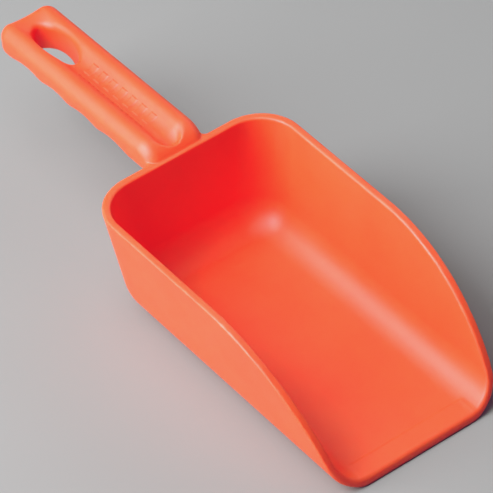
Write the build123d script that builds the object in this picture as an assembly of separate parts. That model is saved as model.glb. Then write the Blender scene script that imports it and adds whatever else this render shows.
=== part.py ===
from build123d import *
import math
import os

# A one-piece hand scoop: a deep rounded-rectangle bowl, open at the front, whose side rims
# sweep down to a straight lip, and a straight bar handle that leaves the back rim.
# The real scoop is a single moulding. It is written here as two zones that meet face to face
# on the plane of the bowl's back wall: "bowl" and "handle".
# Frame: +X from the handle to the lip, +Z up, origin below the middle of the whole scoop, at the
# level of the bowl's flat bottom. While it is built, x is 0 at the back edge of the rim.

# ---- Driving dimensions, mm and degrees ----

# Bowl
rim_width = 120.6            # across the outsides of the side rims
rim_height = 67.3            # level part of the rim above the flat bottom
side_draft = 8.0             # side walls lean outwards
back_draft = 5.0             # back wall leans outwards
wall = 4.4                   # measured level, through the rim
floor_thickness = 4.2
outer_corner_radius = 25.5   # upright corners at the back
outer_floor_radius = 21.0    # where the walls turn into the bottom
inner_corner_radius = 21.5
inner_floor_radius = 17.5
sweep_start = 102.2          # where the side rims leave the level
sweep_radius = 104.0         # one arc from there down to the lip
rim_rounding = 1.0

# Low raised strip across the floor, along the lip
strip_start = 185.5
strip_half_width = 36.5
strip_height = 0.3

# Handle, in its own level frame; it then droops towards its rear end
handle_length = 137.2        # behind the back edge of the rim
handle_droop = 1.27
handle_rise = 7.5            # its two ridges stand this far above the rim
handle_depth = 19.65         # ridge to the lands between the finger scallops
ridge_radius = 6.5
ridge_spread = 23.6          # between the centres of the two ridges
groove_radius = 10.0         # the hollow that runs along the top
belly_radius = 10.0          # the two lower corners of the section
nose_radius = 12.0           # the top rolls down to the rim on this
rear_bow_radius = 90.0       # the rear end, seen from above
rear_rounding = 5.0
rear_chamfer = 6.0           # takes off the lower rear corner before it is rounded

# Finger scallops under the handle
scallop_count = 4
scallop_first = -113.5       # centre of the rearmost one
scallop_pitch = 25.3
scallop_depth = 2.35
scallop_radius = 35.0

# Oval hole for hanging
hole_centre = -103.0
hole_length = 36.0
hole_width = 16.5
hole_top_rounding = 2.0


def tan_deg(angle):
    return math.tan(math.radians(angle))


# ---- Bowl ----

def drafted_block(inset, bottom, top, corner_radius, floor_radius):
    """The bowl's outer block, or with an inset its cavity, running on past the lip."""
    def back(height):
        return inset + (rim_height - height) * tan_deg(back_draft)

    def half_width(height):
        return rim_width / 2 - inset - (rim_height - height) * tan_deg(side_draft)

    front = sweep_start + sweep_radius + 20
    side_view = Polyline(
        (back(bottom), bottom), (front, bottom), (front, top), (back(top), top), close=True)
    end_view = Polyline(
        (-half_width(bottom), bottom), (half_width(bottom), bottom),
        (half_width(top), top), (-half_width(top), top), close=True)
    block = extrude(Plane.XZ * make_face(side_view), rim_width, both=True)
    block &= extrude(Plane.YZ * make_face(end_view), front + 10, both=True)
    uprights = block.faces().sort_by(Axis.X)[0].edges().filter_by(
        lambda edge: edge.bounding_box().size.Z > (top - bottom) / 2)
    block = fillet(uprights, corner_radius)
    floor_edges = block.faces().sort_by(Axis.Z)[0].edges().filter_by(
        lambda edge: edge.center().X < front - 1)
    return fillet(floor_edges, floor_radius)


def below_rim():
    """Everything under the rim line: level, then one arc down to the lip."""
    turn = math.acos(1 - rim_height / sweep_radius)
    lip_x = sweep_start + sweep_radius * math.sin(turn)
    middle = (sweep_start + sweep_radius * math.sin(turn / 2),
              rim_height - sweep_radius * (1 - math.cos(turn / 2)))
    line = (
        Line((lip_x, 0), (lip_x, -10))
        + Line((lip_x, -10), (-200, -10))
        + Line((-200, -10), (-200, rim_height))
        + Line((-200, rim_height), (sweep_start, rim_height))
        + ThreePointArc((sweep_start, rim_height), middle, (lip_x, 0))
    )
    return extrude(Plane.XZ * make_face(line), rim_width, both=True)


def lip_strip():
    """A low pad on the floor, running on past the lip."""
    length = 40
    line = Polyline(
        (strip_start, floor_thickness - 1),
        (strip_start + length, floor_thickness - 1),
        (strip_start + length, floor_thickness + strip_height),
        (strip_start, floor_thickness + strip_height),
        close=True,
    )
    return extrude(Plane.XZ * make_face(line), strip_half_width, both=True)


def is_rim_face(face):
    if face.geom_type == GeomType.PLANE:
        return abs(face.center().Z - rim_height) < 0.01
    return face.geom_type == GeomType.CYLINDER and abs(face.radius - sweep_radius) < 0.01


def rim_edges(shell):
    """The inner and outer edges of the rim, without the joints between its faces."""
    def is_joint(edge):
        straight_across = edge.bounding_box().size.X < 0.01 and edge.bounding_box().size.Z < 0.01
        return straight_across and abs(edge.center().X - sweep_start) < 0.01

    faces = shell.faces().filter_by(is_rim_face)
    edges = ShapeList(edge for face in faces for edge in face.edges())
    return ShapeList(edge for edge in edges if not is_joint(edge))


def make_bowl(outer):
    cavity = drafted_block(wall, floor_thickness, rim_height + 5, inner_corner_radius,
                           inner_floor_radius)
    shell = (outer - (cavity - lip_strip())) & below_rim()
    return fillet(rim_edges(shell), rim_rounding)


# ---- Handle ----

def upper_section():
    """Two ridges with a hollow between them, from the ridges' widest level upwards."""
    half = ridge_spread / 2
    centre_z = rim_height + handle_rise - ridge_radius
    groove_z = centre_z + math.sqrt((ridge_radius + groove_radius)**2 - half**2)
    reach = ridge_radius / (ridge_radius + groove_radius)
    touch = (half * (1 - reach), centre_z + (groove_z - centre_z) * reach)
    return half, centre_z, groove_z, touch


def handle_section():
    half, centre_z, groove_z, touch = upper_section()
    side = half + ridge_radius
    belly_z = rim_height + handle_rise - handle_depth
    diagonal = belly_radius * math.sqrt(0.5)
    over = math.sqrt(0.5) * ridge_radius
    right = (
        Line((0, belly_z), (side - belly_radius, belly_z))
        + ThreePointArc((side - belly_radius, belly_z),
                        (side - belly_radius + diagonal, belly_z + belly_radius - diagonal),
                        (side, belly_z + belly_radius))
        + Line((side, belly_z + belly_radius), (side, centre_z))
        + ThreePointArc((side, centre_z), (half + over, centre_z + over),
                        (half, centre_z + ridge_radius))
        + ThreePointArc((half, centre_z + ridge_radius),
                        (half - over * 0.3, centre_z + math.sqrt(ridge_radius**2 - (over * 0.3)**2)),
                        touch)
        + ThreePointArc(touch, (touch[0] / 2, groove_z - math.sqrt(groove_radius**2 - touch[0]**2 / 4)),
                        (0, groove_z - groove_radius))
    )
    left = mirror(right, Plane.YZ)
    return make_face(right + left)


def side_prism(line):
    """A closed line drawn in the side view, run right across the handle."""
    return extrude(Plane.XZ * make_face(line), rim_width / 3, both=True)


def level_bar():
    """The bar at full length: grooved top, rolled down at the front, bowed at the rear."""
    bar = extrude(Plane.YZ.offset(-handle_length) * handle_section(), handle_length + 20)
    top = rim_height + handle_rise
    roll = nose_radius * math.sqrt(0.5)
    nose = side_prism(
        Line((-nose_radius, top), (-nose_radius, top + 5))
        + Line((-nose_radius, top + 5), (30, top + 5))
        + Line((30, top + 5), (30, top - nose_radius))
        + Line((30, top - nose_radius), (0, top - nose_radius))
        + ThreePointArc((0, top - nose_radius),
                        (-nose_radius + roll, top - nose_radius + roll),
                        (-nose_radius, top))
    )
    bow = Pos(rear_bow_radius - handle_length, 0, 0) * Cylinder(rear_bow_radius, 400)
    front_half = Pos(100 - handle_length / 2, 0, 0) * Box(200, 200, 400)
    bar = (bar - nose) & (bow + front_half)
    belly = top - handle_depth
    corner = side_prism(Polyline(
        (-handle_length - 1, belly + rear_chamfer + 1),
        (-handle_length + rear_chamfer + 1, belly - 1),
        (-handle_length - 1, belly - 1),
        close=True,
    ))
    return bar - corner


def round_rear(bar):
    end = bar.edges().filter_by(
        lambda edge: edge.bounding_box().max.X < -handle_length + rear_chamfer + 4)
    return fillet(end, rear_rounding)


def scallops():
    """Cutters that hollow the belly for the fingers and keep its rounded corners."""
    half, centre_z, _, _ = upper_section()
    side = half + ridge_radius
    hollow_z = rim_height + handle_rise - handle_depth + scallop_depth
    diagonal = belly_radius * math.sqrt(0.5)
    low_z = hollow_z - 30
    outside = side + 4
    line = (
        Line((-outside, low_z), (outside, low_z))
        + Line((outside, low_z), (outside, hollow_z + belly_radius))
        + Line((outside, hollow_z + belly_radius), (side, hollow_z + belly_radius))
        + ThreePointArc((side, hollow_z + belly_radius),
                        (side - belly_radius + diagonal, hollow_z + belly_radius - diagonal),
                        (side - belly_radius, hollow_z))
        + Line((side - belly_radius, hollow_z), (belly_radius - side, hollow_z))
        + ThreePointArc((belly_radius - side, hollow_z),
                        (belly_radius - diagonal - side, hollow_z + belly_radius - diagonal),
                        (-side, hollow_z + belly_radius))
        + Line((-side, hollow_z + belly_radius), (-outside, hollow_z + belly_radius))
        + Line((-outside, hollow_z + belly_radius), (-outside, low_z))
    )
    section = make_face(line)
    cutters = []
    for index in range(scallop_count):
        x = scallop_first + index * scallop_pitch
        axis = Axis((x, 0, hollow_z - scallop_radius), (0, 1, 0))
        start = (Plane.YZ.offset(x) * section).rotate(axis, -40)
        cutters.append(revolve(start, axis, 80))
    return cutters


def hanging_hole():
    return Pos(hole_centre, 0, rim_height) * extrude(
        Ellipse(hole_length / 2, hole_width / 2), 60, both=True)


def hole_edges(bar):
    """The hanging hole's edge on the top of the bar."""
    def is_hole_edge(edge):
        box = edge.bounding_box()
        along = abs((box.min.X + box.max.X) / 2 - hole_centre) < hole_length / 2
        across = max(abs(box.min.Y), abs(box.max.Y)) < hole_width / 2 + 0.05
        return along and across and box.size.Z < 4 and edge.center().Z > rim_height - 3

    return bar.edges().filter_by(is_hole_edge)


def make_bar():
    bar = round_rear(level_bar())
    for cutter in scallops():
        bar -= cutter
    bar -= hanging_hole()
    bar = fillet(hole_edges(bar), hole_top_rounding)
    return bar.rotate(Axis((0, 0, rim_height), (0, 1, 0)), -handle_droop)


def behind_back_wall():
    """The space behind the outer face of the back wall, and behind the rim above it."""
    line = Polyline(
        (rim_height * tan_deg(back_draft), 0), (0, rim_height), (0, 200), (-200, 200), (-200, 0),
        close=True)
    return extrude(Plane.XZ * make_face(line), rim_width, both=True)


def main():
    outer = drafted_block(0, 0, rim_height, outer_corner_radius, outer_floor_radius)
    bowl = make_bowl(outer)
    handle = make_bar() & behind_back_wall()
    middle = (handle.bounding_box().min.X + bowl.bounding_box().max.X) / 2
    os.makedirs("parts", exist_ok=True)
    for name, solid in (("bowl", bowl), ("handle", handle)):
        export_step(Pos(-middle, 0, 0) * solid, f"parts/{name}.step")
    print("back of the rim at x =", round(-middle, 3))


main()
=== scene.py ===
import math

import bpy
import numpy as np
from mathutils import Matrix, Vector


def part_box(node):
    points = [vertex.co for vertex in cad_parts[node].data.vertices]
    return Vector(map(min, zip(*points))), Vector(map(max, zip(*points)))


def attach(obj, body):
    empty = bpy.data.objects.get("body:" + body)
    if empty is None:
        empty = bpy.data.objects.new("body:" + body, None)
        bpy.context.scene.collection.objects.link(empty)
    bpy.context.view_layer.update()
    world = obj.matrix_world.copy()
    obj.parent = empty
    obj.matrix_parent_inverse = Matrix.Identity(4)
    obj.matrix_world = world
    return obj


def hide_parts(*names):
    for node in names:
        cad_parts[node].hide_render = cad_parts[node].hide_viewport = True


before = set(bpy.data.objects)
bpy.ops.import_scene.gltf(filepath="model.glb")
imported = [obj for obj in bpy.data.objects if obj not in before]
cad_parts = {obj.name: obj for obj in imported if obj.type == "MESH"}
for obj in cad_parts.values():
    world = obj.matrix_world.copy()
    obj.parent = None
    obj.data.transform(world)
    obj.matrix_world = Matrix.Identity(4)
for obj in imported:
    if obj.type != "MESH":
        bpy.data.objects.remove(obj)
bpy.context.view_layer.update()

# The scoop is one moulding, so its visible skin is one mesh. It is worked out from a distance
# function of the whole solid, in millimetres, with x = 0 at the back edge of the rim, y across
# and z up from the flat bottom. The frame's own zero is under the middle of the scoop.
MM = 0.001
BACK_OF_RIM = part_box("bowl")[0].x

# ---- Bowl, mm and degrees ----
HALF_WIDTH = 60.1
RIM_HEIGHT = 67.3
SIDE_DRAFT = math.radians(8.0)
BACK_DRAFT = math.radians(5.0)
WALL = 4.4
FLOOR = 4.2
OUTER_CORNER, OUTER_FLOOR_EDGE = 25.5, 21.0
INNER_CORNER, INNER_FLOOR_EDGE = 21.5, 17.5
SWEEP_START, SWEEP_RADIUS = 102.0, 104.15    # where the side rims curve down to the lip
RIM_OUTER_ROUNDING, RIM_INNER_ROUNDING = 0.9, 1.0
TOE_ROUNDING, LIP_ROUNDING = 1.4, 1.7        # under and over the front edge
TOE_HEIGHT = 9.0                             # the rim's outer edge turns into the toe below this
LIP_FROM, LIP_TO = 20.0, 5.0                 # its inner edge turns into the lip between these
CORNER_ROUNDING = 1.4                        # added where the toe turns up into the sides,
CORNER_INNER, CORNER_OUTER = 34.0, 46.0      # which is between these places across
CORNER_HIGH, CORNER_LOW = 24.0, 8.0          # and these heights
STRIP_START, STRIP_HALF_WIDTH = 185.5, 36.5
STRIP_HEIGHT = 0.42                          # of the raised strip along the front edge
STRIP_RAMP = 0.6                             # half the length of the slope up to it
STRIP_END_RAMP = 1.5                         # half the length of the slopes at its two ends

# ---- Handle, in its own level frame, which droops towards the rear ----
HANDLE_LENGTH = 137.2
DROOP = math.radians(1.27)
HANDLE_TOP = RIM_HEIGHT + 7.4
HANDLE_HALF_WIDTH = 17.95
HANDLE_DEPTH = 19.9
RIDGE_RADIUS = 6.5
RIDGE_Y = 11.45
GROOVE_DEPTH, GROOVE_DEPTH_REAR = 5.0, 1.5
GROOVE_FADE_START, GROOVE_FADE_END = -114.0, -133.0
GROOVE_END = -8.4                            # centre of the groove's round front end
GROOVE_END_EDGE = 1.3                        # rounding of the edge round that end
GROOVE_END_LENGTH = 8.0                      # over which the ridges' rounding shrinks to that
BELLY_RADIUS = 9.0
NOSE_START, NOSE_RADIUS = -11.1, 16.0
REAR_BOW = 90.0
REAR_ROUNDING = 5.5
REAR_BELLY_ROUNDING = 12.0
SCALLOP_FIRST, SCALLOP_PITCH, SCALLOP_COUNT = -111.5, 25.3, 4
SCALLOP_RADIUS, SCALLOP_DEPTH = 35.0, 2.4
SCALLOP_BLEND = 1.4
HOLE_X, HOLE_LENGTH, HOLE_WIDTH = -107.0, 35.8, 16.0
HOLE_DRAFT = 0.03                            # how fast it gets narrower on the way down
HOLE_ROUNDING, HOLE_ROUNDING_BELOW = 2.4, 1.6
HOLE_UPPER, HOLE_LOWER = 6.0, 12.0           # depths between which its rounding changes

# ---- Where the handle runs into the bowl ----
ROOT_ROUNDING = 3.0
ROOT_REACH = 3 * ROOT_ROUNDING               # how far back the bowl's share of the root goes
ROOT_INSET = 0.4                             # it is this much slimmer than the handle
ROOT_IN_WALL = 1.0                           # and ends this deep in the back wall
HANDLE_IN_WALL = 1.2                         # the handle ends this deep in it
HANDLE_ON_RIM = 4.0                          # and runs this far over the rim
RIM_SKIN = 0.5                               # it counts as over the rim from this far under it
ZONE_BLEND = 0.6                             # softens the seam between bowl and handle

# ---- Mesh ----
GRID = 1.12                                  # spacing of the grid that finds the skin
STEP = 0.02                                  # for the slope of the distance function
MARGIN, REAR_MARGIN = 2.0, 3.0               # of the grid round the scoop
TINY = 1e-9                                  # keeps divisions away from zero


# ---- Building blocks of the distance function ----

def rounded_overlap(a, b, radius, cosine=0.0):
    """Where both solids are, with the edge between them rounded. cosine is that of the angle
    between their outward normals."""
    p = a + radius
    q = b + radius
    arc = np.sqrt(np.maximum(p * p + q * q - 2 * cosine * p * q, 0) / (1 - cosine**2)) - radius
    on_edge = (p > cosine * q) & (q > cosine * p)
    return np.where(on_edge, arc, np.maximum(a, b))


def rounded_join(a, b, radius):
    return -rounded_overlap(-a, -b, radius)


def soft_max(a, b, width):
    return np.maximum(a, b) + np.maximum(width - np.abs(a - b), 0)**2 / (4 * width)


def soft_min(a, b, width):
    return -soft_max(-a, -b, width)


def smooth_step(value, start, end):
    t = np.clip((value - start) / (end - start), 0, 1)
    return t * t * (3 - 2 * t)


# ---- Bowl ----

def back_of_wall(z):
    """How far forward the back wall's outside is at a height."""
    return (RIM_HEIGHT - z) * math.tan(BACK_DRAFT)


def walls(x, y, z, inset, corner):
    """The upright walls' distance, and how far the nearest one leans as a cosine."""
    side = (np.abs(y) - HALF_WIDTH + inset + (RIM_HEIGHT - z) * math.tan(SIDE_DRAFT)) \
        * math.cos(SIDE_DRAFT)
    back = (inset + back_of_wall(z) - x) * math.cos(BACK_DRAFT)
    distance = rounded_overlap(side, back, corner, math.sin(SIDE_DRAFT) * math.sin(BACK_DRAFT))
    side_part = np.maximum(side + corner, 0)**2
    back_part = np.maximum(back + corner, 0)**2
    share = side_part / (side_part + back_part + TINY)
    lean = math.sin(BACK_DRAFT) + share * (math.sin(SIDE_DRAFT) - math.sin(BACK_DRAFT))
    return distance, lean


def above_rim(x, z):
    """Distance above the rim, which is level at the back and curves down to the lip."""
    arc = np.hypot(x - SWEEP_START, z - RIM_HEIGHT + SWEEP_RADIUS) - SWEEP_RADIUS
    return np.where(x > SWEEP_START, arc, z - RIM_HEIGHT)


def cavity(x, y, z):
    """The space inside the bowl, down to the floor with its raised strip."""
    inner, lean = walls(x, y, z, WALL, INNER_CORNER)
    strip = smooth_step(x, STRIP_START - STRIP_RAMP, STRIP_START + STRIP_RAMP) \
        * smooth_step(np.abs(y), STRIP_HALF_WIDTH + STRIP_END_RAMP,
                      STRIP_HALF_WIDTH - STRIP_END_RAMP)
    level = FLOOR + STRIP_HEIGHT * strip
    return rounded_overlap(inner, level - z, INNER_FLOOR_EDGE, lean)


def handle_root(x, y, z):
    """The last stretch of the handle's bar, which ends within the back wall."""
    u, w = handle_frame(x, z)
    root = np.maximum(grip(u, y, w) + ROOT_INSET, -ROOT_REACH - x)
    return np.maximum(root, x - back_of_wall(z) - ROOT_IN_WALL)


def bowl(x, y, z):
    """The bowl, with the handle's root run into its back wall under the level of the rim."""
    outside, lean = walls(x, y, z, 0.0, OUTER_CORNER)
    outside = rounded_join(outside, handle_root(x, y, z), ROOT_ROUNDING)
    outside = rounded_overlap(outside, -z, OUTER_FLOOR_EDGE, lean)
    rim = above_rim(x, z)
    toe = smooth_step(z, TOE_HEIGHT, 0)
    corner = smooth_step(np.abs(y), CORNER_INNER, CORNER_OUTER) \
        * smooth_step(z, CORNER_HIGH, CORNER_LOW)
    rounding = RIM_OUTER_ROUNDING + toe * (TOE_ROUNDING - RIM_OUTER_ROUNDING) \
        + corner * CORNER_ROUNDING
    shell = rounded_overlap(outside, rim, rounding)
    lip = smooth_step(z, LIP_FROM, LIP_TO)
    rounding = RIM_INNER_ROUNDING + lip * (LIP_ROUNDING - RIM_INNER_ROUNDING)
    return np.maximum(shell, rounded_overlap(-cavity(x, y, z), rim, rounding))


# ---- Handle ----

def handle_frame(x, z):
    """From the scoop's frame to the handle's: along it and up."""
    rise = z - RIM_HEIGHT
    return (x * math.cos(DROOP) + rise * math.sin(DROOP),
            RIM_HEIGHT + rise * math.cos(DROOP) - x * math.sin(DROOP))


def belly(u, w):
    """The underside with its finger scallops."""
    level = HANDLE_TOP - HANDLE_DEPTH
    distance = level - w
    for index in range(SCALLOP_COUNT):
        centre = SCALLOP_FIRST + index * SCALLOP_PITCH
        hollow = SCALLOP_RADIUS - np.hypot(u - centre, w - level - SCALLOP_DEPTH + SCALLOP_RADIUS)
        distance = soft_max(distance, hollow, SCALLOP_BLEND)
    return distance


def grip(u, y, w):
    """Sides and underside."""
    return rounded_overlap(np.abs(y) - HANDLE_HALF_WIDTH, belly(u, w), BELLY_RADIUS)


def groove_radius(depth):
    """Radius of the groove that runs smoothly into both ridges at a given depth."""
    return (RIDGE_Y**2 + depth**2) / (2 * depth) - RIDGE_RADIUS


def rolled_nose(u, w):
    """Heights as the ridges see them, which rise at the front so that they roll down there."""
    rolled = HANDLE_TOP - NOSE_RADIUS + np.hypot(
        u - NOSE_START, np.maximum(w - HANDLE_TOP + NOSE_RADIUS, 0))
    return np.where(u > NOSE_START, rolled, w)


def grooved_top(u, y, w):
    """Two round ridges with a groove between them, which all roll down to the rim at the front."""
    w = rolled_nose(u, w)
    ridge_z = HANDLE_TOP - RIDGE_RADIUS
    across = np.abs(y)
    outer = np.where(across > RIDGE_Y,
                     np.hypot(across - RIDGE_Y, np.maximum(w - ridge_z, 0)) - RIDGE_RADIUS,
                     w - HANDLE_TOP)
    fade = smooth_step(u, GROOVE_FADE_START, GROOVE_FADE_END)
    depth = GROOVE_DEPTH + fade * (GROOVE_DEPTH_REAR - GROOVE_DEPTH)
    radius = groove_radius(depth)
    axis_z = HANDLE_TOP - depth + radius
    along = np.maximum(u - GROOVE_END, 0)
    edge = RIDGE_RADIUS + smooth_step(along, 0, GROOVE_END_LENGTH) * (GROOVE_END_EDGE - RIDGE_RADIUS)
    drop = axis_z - HANDLE_TOP + edge
    edge_at = np.sqrt(np.maximum((radius + edge)**2 - drop**2, 0))
    away = np.hypot(across, along)
    in_groove = (w < axis_z) & (away * drop < edge_at * (axis_z - w))
    groove = radius - np.hypot(away, w - axis_z)
    lip = np.hypot(away - edge_at, w - HANDLE_TOP + edge) - edge
    inner = np.where(in_groove, groove, np.where(away < edge_at, lip, w - HANDLE_TOP))
    return np.maximum(inner, outer)


def hanging_hole(u, y, w):
    """Distance from an elliptic hole that runs right through, above zero outside it."""
    a = HOLE_LENGTH / 2
    b = HOLE_WIDTH / 2 - HOLE_DRAFT * (HANDLE_TOP - w)
    scaled = np.hypot((u - HOLE_X) / a, y / b)
    slope = np.hypot((u - HOLE_X) / a**2, y / b**2) + TINY
    return scaled * (scaled - 1) / slope


def handle(x, y, z):
    """The bar with its bowed rear end and its hole, up to the bowl."""
    u, w = handle_frame(x, z)
    bar = np.maximum(grooved_top(u, y, w), grip(u, y, w))
    rear = np.hypot(np.minimum(u + HANDLE_LENGTH - REAR_BOW, 0), y) - REAR_BOW
    bar = np.maximum(rounded_overlap(bar, rear, REAR_ROUNDING),
                     rounded_overlap(belly(u, w), rear, REAR_BELLY_ROUNDING))
    below = smooth_step(w, HANDLE_TOP - HOLE_UPPER, HANDLE_TOP - HOLE_LOWER)
    edge = HOLE_ROUNDING + below * (HOLE_ROUNDING_BELOW - HOLE_ROUNDING)
    bar = rounded_overlap(bar, -hanging_hole(u, y, w), edge)
    front = np.where(z < RIM_HEIGHT - RIM_SKIN,
                     x - (back_of_wall(z) + HANDLE_IN_WALL), x - HANDLE_ON_RIM)
    return np.maximum(bar, front)


def scoop(x, y, z):
    return soft_min(bowl(x, y, z), handle(x, y, z), ZONE_BLEND)


# ---- From the distance function to a mesh ----

def slope(distance, points):
    """The distance function's rate of change along x, y and z."""
    parts = []
    for axis in range(3):
        shift = np.zeros(3)
        shift[axis] = STEP
        ahead = distance(*(points + shift).T)
        behind = distance(*(points - shift).T)
        parts.append((ahead - behind) / (2 * STEP))
    return np.stack(parts, axis=1)


def crossings(values, axis):
    """Where the surface cuts the grid's lines along one axis: the lines' first corners, how far
    along them it cuts, and whether they start inside the solid."""
    first = [slice(None)] * 3
    second = [slice(None)] * 3
    first[axis] = slice(None, -1)
    second[axis] = slice(1, None)
    start, end = values[tuple(first)], values[tuple(second)]
    cut = (start < 0) != (end < 0)
    return np.argwhere(cut), start[cut] / (start[cut] - end[cut]), start[cut] < 0


def neighbour(corners, axis, i, j):
    """The cell that is i and j steps back from a grid line, across the line's own axis."""
    cell = corners.copy()
    across = [k for k in range(3) if k != axis]
    cell[:, across[0]] -= i
    cell[:, across[1]] -= j
    return tuple(cell.T)


def skin(distance, low, high, spacing):
    """Points and quads on the surface where the distance is zero: one point in each cell of a
    grid that the surface runs through, and one quad round each grid line that it cuts."""
    axes = [np.arange(start, end + spacing, spacing) for start, end in zip(low, high)]
    values = distance(*np.meshgrid(*axes, indexing="ij"))
    cells = tuple(n - 1 for n in values.shape)
    total = np.zeros(cells + (3,), np.float32)
    count = np.zeros(cells, np.float32)
    found = [crossings(values, axis) for axis in range(3)]
    for axis, (corners, part, _) in enumerate(found):
        place = corners.astype(float)
        place[:, axis] += part
        for i in (0, 1):
            for j in (0, 1):
                cell = neighbour(corners, axis, i, j)
                np.add.at(total, cell, place)
                np.add.at(count, cell, 1)
    used = tuple(np.argwhere(count > 0).T)
    number = np.full(cells, -1)
    number[used] = np.arange(len(used[0]))
    points = total[used] / count[used][:, None]
    points = np.array(low) + points.astype(float) * spacing
    quads = []
    for axis, (corners, _, starts_inside) in enumerate(found):
        around = [number[neighbour(corners, axis, i, j)]
                  for i, j in ((1, 1), (0, 1), (0, 0), (1, 0))]
        quad = np.stack(around, axis=1)
        flip = starts_inside if axis == 1 else ~starts_inside
        quad[flip] = quad[flip][:, ::-1]
        quads.append(quad)
    return points, np.concatenate(quads)


def settle(distance, points, rounds=4):
    """Moves points onto the surface along its slope, and returns them with their normals."""
    for _ in range(rounds):
        direction = slope(distance, points)
        steep = np.sum(direction**2, axis=1) + TINY
        move = distance(*points.T) / steep
        points = points - np.clip(move, -GRID / 2, GRID / 2)[:, None] * direction
    direction = slope(distance, points)
    return points, direction / (np.linalg.norm(direction, axis=1)[:, None] + TINY)


def mesh_object(name, points, faces):
    """A smooth piece from points in millimetres."""
    places = points * MM
    places[:, 0] += BACK_OF_RIM
    mesh = bpy.data.meshes.new(name)
    mesh.from_pydata(places.tolist(), [], faces.tolist())
    mesh.validate()
    mesh.shade_smooth()
    piece = bpy.data.objects.new(name, mesh)
    bpy.context.scene.collection.objects.link(piece)
    return piece


def add_moulding():
    low = (-HANDLE_LENGTH - REAR_MARGIN, -HALF_WIDTH - MARGIN, -MARGIN)
    high = (SWEEP_START + SWEEP_RADIUS, HALF_WIDTH + MARGIN, HANDLE_TOP + MARGIN)
    points, quads = skin(scoop, low, high, GRID)
    points, normals = settle(scoop, points)
    piece = mesh_object("moulding", points, quads)
    piece.data.normals_split_custom_set_from_vertices(normals.tolist())
    return piece


# ---- Raised marks in the groove: a plain rule with ticks and a row of plain bars ----
MARK_HEIGHT = 0.34
MARK_SINK = 0.5              # how far a mark's underside runs into the groove
MARK_SLOPE = 0.80            # width of a mark's sloping side
MARK_RADIUS = 10.0           # turns a mark's widths across the groove into angles
MARK_STEP = math.radians(4)  # the angle that one facet of a mark covers at most
MARK_CREASE = math.radians(15)
BAR_COUNT, BAR_FIRST, BAR_PITCH = 7, -77.5, 8.6
BAR_LENGTH, BAR_FROM, BAR_TO = 5.4, math.radians(-8), math.radians(40)
RULE_START, RULE_END, RULE_WIDTH = -80.0, -22.0, 1.7
RULE_ANGLE = math.radians(-24)
TICK_PITCH, TICK_WIDTH, TICK_ANGLE = 4.2, 1.9, math.radians(16)


def groove_point(u, angle, rise):
    """A point over the groove's straight stretch, at an angle from its lowest line."""
    radius = groove_radius(GROOVE_DEPTH)
    axis_z = HANDLE_TOP - GROOVE_DEPTH + radius
    y = (radius - rise) * math.sin(angle)
    w = axis_z - (radius - rise) * math.cos(angle)
    x = u * math.cos(DROOP) - (w - RIM_HEIGHT) * math.sin(DROOP)
    z = RIM_HEIGHT + (w - RIM_HEIGHT) * math.cos(DROOP) + u * math.sin(DROOP)
    return x, y, z


def mark(points, faces, start, end, angle_from, angle_to):
    """Adds one raised patch with sloping sides to a list of points and faces."""
    steps = max(2, int(math.ceil((angle_to - angle_from) / MARK_STEP)))
    slant = MARK_SLOPE / MARK_RADIUS
    rings = []
    for level, rise in ((0, -MARK_SINK), (0, 0.0), (1, MARK_HEIGHT)):
        a, b = start + level * MARK_SLOPE, end - level * MARK_SLOPE
        low, high = angle_from + level * slant, angle_to - level * slant
        ring = [(a, low + (high - low) * k / steps) for k in range(steps + 1)]
        ring += [(b, high - (high - low) * k / steps) for k in range(steps + 1)]
        rings.append(len(points))
        points.extend(groove_point(u, angle, rise) for u, angle in ring)
    size = 2 * (steps + 1)
    for lower, upper in zip(rings, rings[1:]):
        for k in range(size):
            after = (k + 1) % size
            faces.append((lower + k, lower + after, upper + after, upper + k))
    for first, turn in ((rings[0], 1), (rings[-1], -1)):
        for k in range(steps):
            quad = (first + k, first + k + 1, first + size - 2 - k, first + size - 1 - k)
            faces.append(quad[::turn])


def add_marks():
    points, faces = [], []
    half_bar = BAR_LENGTH / 2
    for index in range(BAR_COUNT):
        middle = BAR_FIRST + index * BAR_PITCH
        mark(points, faces, middle - half_bar, middle + half_bar, BAR_FROM, BAR_TO)
    half_rule = RULE_WIDTH / 2 / MARK_RADIUS
    mark(points, faces, RULE_START, RULE_END, RULE_ANGLE - half_rule, RULE_ANGLE + half_rule)
    half_tick = TICK_WIDTH / 2
    tick = RULE_START + TICK_PITCH / 2
    while tick < RULE_END:
        mark(points, faces, tick - half_tick, tick + half_tick,
             RULE_ANGLE - half_rule - TICK_ANGLE, RULE_ANGLE - half_rule)
        tick += TICK_PITCH
    piece = mesh_object("groove_marks", np.array(points), np.array(faces))
    piece.data.set_sharp_from_angle(angle=MARK_CREASE)
    return piece


# ---- Materials ----
PLASTIC_COLOUR = (0.975, 0.094, 0.025, 1)
PLASTIC_PALE = (0.980, 0.102, 0.028, 1)
PLASTIC_DEEP = (0.970, 0.087, 0.022, 1)
SPECK_COLOUR = (0.93, 0.42, 0.26, 1)
SHEEN_TINT = (1.0, 0.82, 0.95, 1)
GLOW_RADIUS, GLOW_SCALE = (1.0, 0.12, 0.06), 0.012    # red light travels furthest inside, metres
SMOOTHEST, ROUGHEST = 0.43, 0.49
MOTTLE_SHARE, SPECK_SHARE, WEAR_SHARE = 0.35, 0.7, 0.30    # of each one's colour
WEAR_POLISH = 0.05                                    # taken off the roughness
BOARD_COLOUR = (0.262, 0.264, 0.265, 1)
BOARD_PALE = (0.269, 0.271, 0.272, 1)

# Sizes of the patterns, as repeats in a metre.
CLOUDS, MOTTLE, SPECK_CELLS, SPECK_PATCHES = 22.0, 480.0, 95.0, 38.0
WEAR, SMEAR, RIPPLE, GRAIN, BOARD_CLOUDS = 130.0, 60.0, 90.0, 2600.0, 6.0


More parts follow.
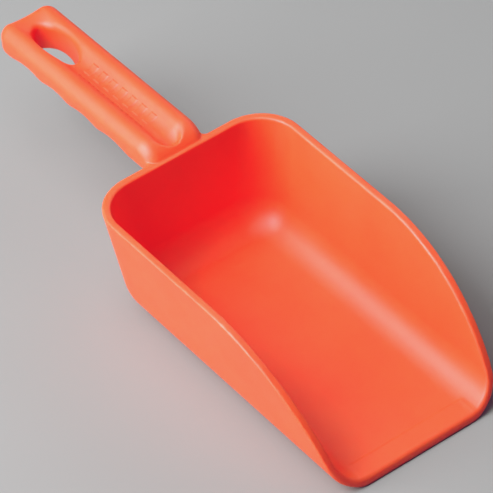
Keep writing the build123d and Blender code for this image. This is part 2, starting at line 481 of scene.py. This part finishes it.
class Nodes:
    """A short way to add linked nodes to a material."""

    def __init__(self, material):
        material.use_nodes = True
        self.tree = material.node_tree
        self.shader = self.tree.nodes["Principled BSDF"]

    def put(self, socket, value):
        """Links an output to an input, or sets a plain value on it."""
        if isinstance(value, bpy.types.NodeSocket):
            self.tree.links.new(value, socket)
        else:
            socket.default_value = value

    def surface(self, **inputs):
        """Sets the shader's inputs, by their names with _ for each space."""
        for name, value in inputs.items():
            self.put(self.shader.inputs[name.replace("_", " ")], value)

    def add(self, kind, inputs=(), **settings):
        node = self.tree.nodes.new(kind)
        for name, value in settings.items():
            setattr(node, name, value)
        for key, value in dict(inputs).items():
            self.put(node.inputs[key], value)
        return node

    def noise(self, place, scale, detail=2.0, roughness=0.5):
        node = self.add("ShaderNodeTexNoise", {
            "Vector": place, "Scale": scale, "Detail": detail, "Roughness": roughness})
        return node.outputs["Fac"]

    def spread(self, value, low, high, to_low=0.0, to_high=1.0):
        node = self.add("ShaderNodeMapRange", {
            "Value": value, "From Min": low, "From Max": high,
            "To Min": to_low, "To Max": to_high})
        return node.outputs["Result"]

    def mix(self, factor, first, second):
        node = self.add("ShaderNodeMix", data_type="RGBA")
        for key, value in (("Factor", factor), ("A", first), ("B", second)):
            socket = [s for s in node.inputs if s.name == key and s.enabled][0]
            self.put(socket, value)
        return [s for s in node.outputs if s.enabled][0]

    def maths(self, operation, first, second):
        node = self.add("ShaderNodeMath", {0: first, 1: second}, operation=operation)
        return node.outputs["Value"]


def worn_edges(nodes, place):
    """How polished a place is: patchy, and only along the outer edges."""
    edge = nodes.spread(nodes.add("ShaderNodeNewGeometry").outputs["Pointiness"], 0.52, 0.60)
    return nodes.maths("MULTIPLY", edge, nodes.spread(nodes.noise(place, WEAR, 4.0), 0.35, 0.75))


def plastic_colour(nodes, place, worn):
    """Orange with clouds, a finer mottle, rare specks and paler edges."""
    clouds = nodes.spread(nodes.noise(place, CLOUDS, 3.0, 0.55), 0.35, 0.65)
    colour = nodes.mix(clouds, PLASTIC_DEEP, PLASTIC_PALE)
    mottle = nodes.spread(nodes.noise(place, MOTTLE), 0.30, 0.70)
    colour = nodes.mix(nodes.maths("MULTIPLY", mottle, MOTTLE_SHARE), colour, PLASTIC_COLOUR)
    cells = nodes.add("ShaderNodeTexVoronoi", {"Vector": place, "Scale": SPECK_CELLS})
    spot = nodes.spread(cells.outputs["Distance"], 0.050, 0.018)
    rare = nodes.spread(nodes.noise(place, SPECK_PATCHES, 1.0), 0.66, 0.70)
    speck = nodes.maths("MULTIPLY", spot, rare)
    colour = nodes.mix(nodes.maths("MULTIPLY", speck, SPECK_SHARE), colour, SPECK_COLOUR)
    return nodes.mix(nodes.maths("MULTIPLY", worn, WEAR_SHARE), colour, SPECK_COLOUR)


def plastic_roughness(nodes, place, worn):
    """Smears that run along the scoop, and smoother edges."""
    squeezed = nodes.add("ShaderNodeMapping", {"Vector": place, "Scale": (1.0, 3.0, 1.0)})
    smear = nodes.noise(squeezed.outputs["Vector"], SMEAR, 4.0)
    rough = nodes.spread(smear, 0.3, 0.7, SMOOTHEST, ROUGHEST)
    return nodes.maths("SUBTRACT", rough, nodes.maths("MULTIPLY", worn, WEAR_POLISH))


def plastic_relief(nodes, place):
    """A fine grain on a long, shallow ripple."""
    grain = nodes.noise(place, GRAIN, 3.0, 0.6)
    ripple = nodes.noise(place, RIPPLE)
    fine = nodes.add("ShaderNodeBump", {"Height": grain, "Strength": 0.10, "Distance": 0.0001})
    wavy = nodes.add("ShaderNodeBump", {"Height": ripple, "Strength": 0.10, "Distance": 0.0004,
                                        "Normal": fine.outputs["Normal"]})
    return wavy.outputs["Normal"]


def moulded_plastic():
    """Satin orange plastic, a little see-through under its surface."""
    material = bpy.data.materials.new("moulded_plastic")
    nodes = Nodes(material)
    place = nodes.add("ShaderNodeTexCoord").outputs["Object"]
    worn = worn_edges(nodes, place)
    nodes.surface(
        Base_Color=plastic_colour(nodes, place, worn),
        Roughness=plastic_roughness(nodes, place, worn),
        Normal=plastic_relief(nodes, place),
        IOR=1.53,
        Specular_IOR_Level=0.62,
        Specular_Tint=SHEEN_TINT,
        Subsurface_Weight=0.35,
        Subsurface_Radius=GLOW_RADIUS,
        Subsurface_Scale=GLOW_SCALE)
    return material


def floor_material():
    """A pale studio board, very slightly cloudy."""
    material = bpy.data.materials.new("studio_board")
    nodes = Nodes(material)
    place = nodes.add("ShaderNodeTexCoord").outputs["Object"]
    clouds = nodes.spread(nodes.noise(place, BOARD_CLOUDS), 0.3, 0.7)
    nodes.surface(
        Base_Color=nodes.mix(clouds, BOARD_COLOUR, BOARD_PALE),
        Roughness=0.95,
        Specular_IOR_Level=0.1)
    return material


# ---- Light and floor, metres and watts ----
LIT_POINT = Vector((0, 0, 0.03))
SOFTBOXES = (    # name, place, size and power of each
    ("key", (-0.34, -1.22, 0.86), (0.9, 1.9), 50),
    ("top", (-0.3, -0.6, 1.6), (1.8, 1.8), 25),
    ("fill", (-0.4, 1.3, 0.8), (1.6, 1.2), 5),
)
WORLD_LIGHT = 0.1
FLOOR_HALF = 4.0


def add_softbox(name, place, size, power):
    data = bpy.data.lights.new(name, "AREA")
    data.shape = "RECTANGLE"
    data.size, data.size_y = size
    data.energy = power
    lamp = bpy.data.objects.new(name, data)
    lamp.location = place
    lamp.rotation_euler = (LIT_POINT - Vector(place)).to_track_quat("-Z", "Y").to_euler()
    bpy.context.scene.collection.objects.link(lamp)


def add_light():
    for softbox in SOFTBOXES:
        add_softbox(*softbox)
    world = bpy.data.worlds.new("studio")
    bpy.context.scene.world = world
    world.use_nodes = True
    back = world.node_tree.nodes["Background"]
    back.inputs["Color"].default_value = (1, 1, 1, 1)
    back.inputs["Strength"].default_value = WORLD_LIGHT


def add_floor():
    mesh = bpy.data.meshes.new("studio_floor")
    corners = [(x * FLOOR_HALF, y * FLOOR_HALF, 0) for x, y in ((-1, -1), (1, -1), (1, 1), (-1, 1))]
    mesh.from_pydata(corners, [], [(0, 1, 2, 3)])
    floor = bpy.data.objects.new("studio_floor", mesh)
    bpy.context.scene.collection.objects.link(floor)
    mesh.materials.append(floor_material())


# ---- Camera and view ----
CAMERA_AZIMUTH = math.radians(-34.604)    # from +X towards +Y, as seen from the scoop
CAMERA_ELEVATION = math.radians(43.490)
CAMERA_ROLL = math.radians(-4.013)
CAMERA_DISTANCE = 2.3017                  # metres
CAMERA_LENS, CAMERA_SENSOR = 328.39, 36.0    # mm
CAMERA_REACH = 100.0                      # metres
CAMERA_TARGET = Vector((BACK_OF_RIM + 0.05746, 0.00003, 0.040))

# The view's curves, in linear light: each bend is a value before and after the curve.
EASE_FROM, BRIGHTEST = 0.6, 0.91
BLUE_FLOOR = 0.011
GREEN_BENDS = ((0.022, 0.012), (0.040, 0.024), (0.085, 0.077), (0.14, 0.14))
BLUE_BENDS = ((0.010, 0.0175), (0.035, 0.035))


def add_camera():
    away = Vector((math.cos(CAMERA_ELEVATION) * math.cos(CAMERA_AZIMUTH),
                   math.cos(CAMERA_ELEVATION) * math.sin(CAMERA_AZIMUTH),
                   math.sin(CAMERA_ELEVATION)))
    data = bpy.data.cameras.new("camera")
    data.sensor_width = CAMERA_SENSOR
    data.lens = CAMERA_LENS
    data.clip_end = CAMERA_REACH
    camera = bpy.data.objects.new("camera", data)
    turn = away.to_track_quat("Z", "Y").to_matrix() @ Matrix.Rotation(CAMERA_ROLL, 3, "Z")
    camera.matrix_world = Matrix.Translation(CAMERA_TARGET + away * CAMERA_DISTANCE) @ turn.to_4x4()
    bpy.context.scene.collection.objects.link(camera)
    bpy.context.scene.camera = camera


def set_view():
    """A plain view whose brightest values ease off a little short of full, and whose deepest
    orange turns to crimson."""
    view = bpy.context.scene.view_settings
    view.view_transform = "Standard"
    view.use_curve_mapping = True
    view.curve_mapping.extend = "HORIZONTAL"
    _, green, blue, all_colours = view.curve_mapping.curves
    all_colours.points[1].location = (1.0, BRIGHTEST)
    all_colours.points.new(EASE_FROM, EASE_FROM)
    blue.points[0].location = (0.0, BLUE_FLOOR)
    for curve, bends in ((green, GREEN_BENDS), (blue, BLUE_BENDS)):
        for bend in bends:
            curve.points.new(*bend)
        for point in curve.points:
            point.handle_type = "VECTOR"
    view.curve_mapping.update()


# ---- The scene ----

moulding = add_moulding()
marks = add_marks()
plastic = moulded_plastic()
for piece in (moulding, marks):
    piece.data.materials.append(plastic)
    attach(piece, "root")
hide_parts("bowl", "handle")

add_light()
add_floor()
add_camera()
set_view()
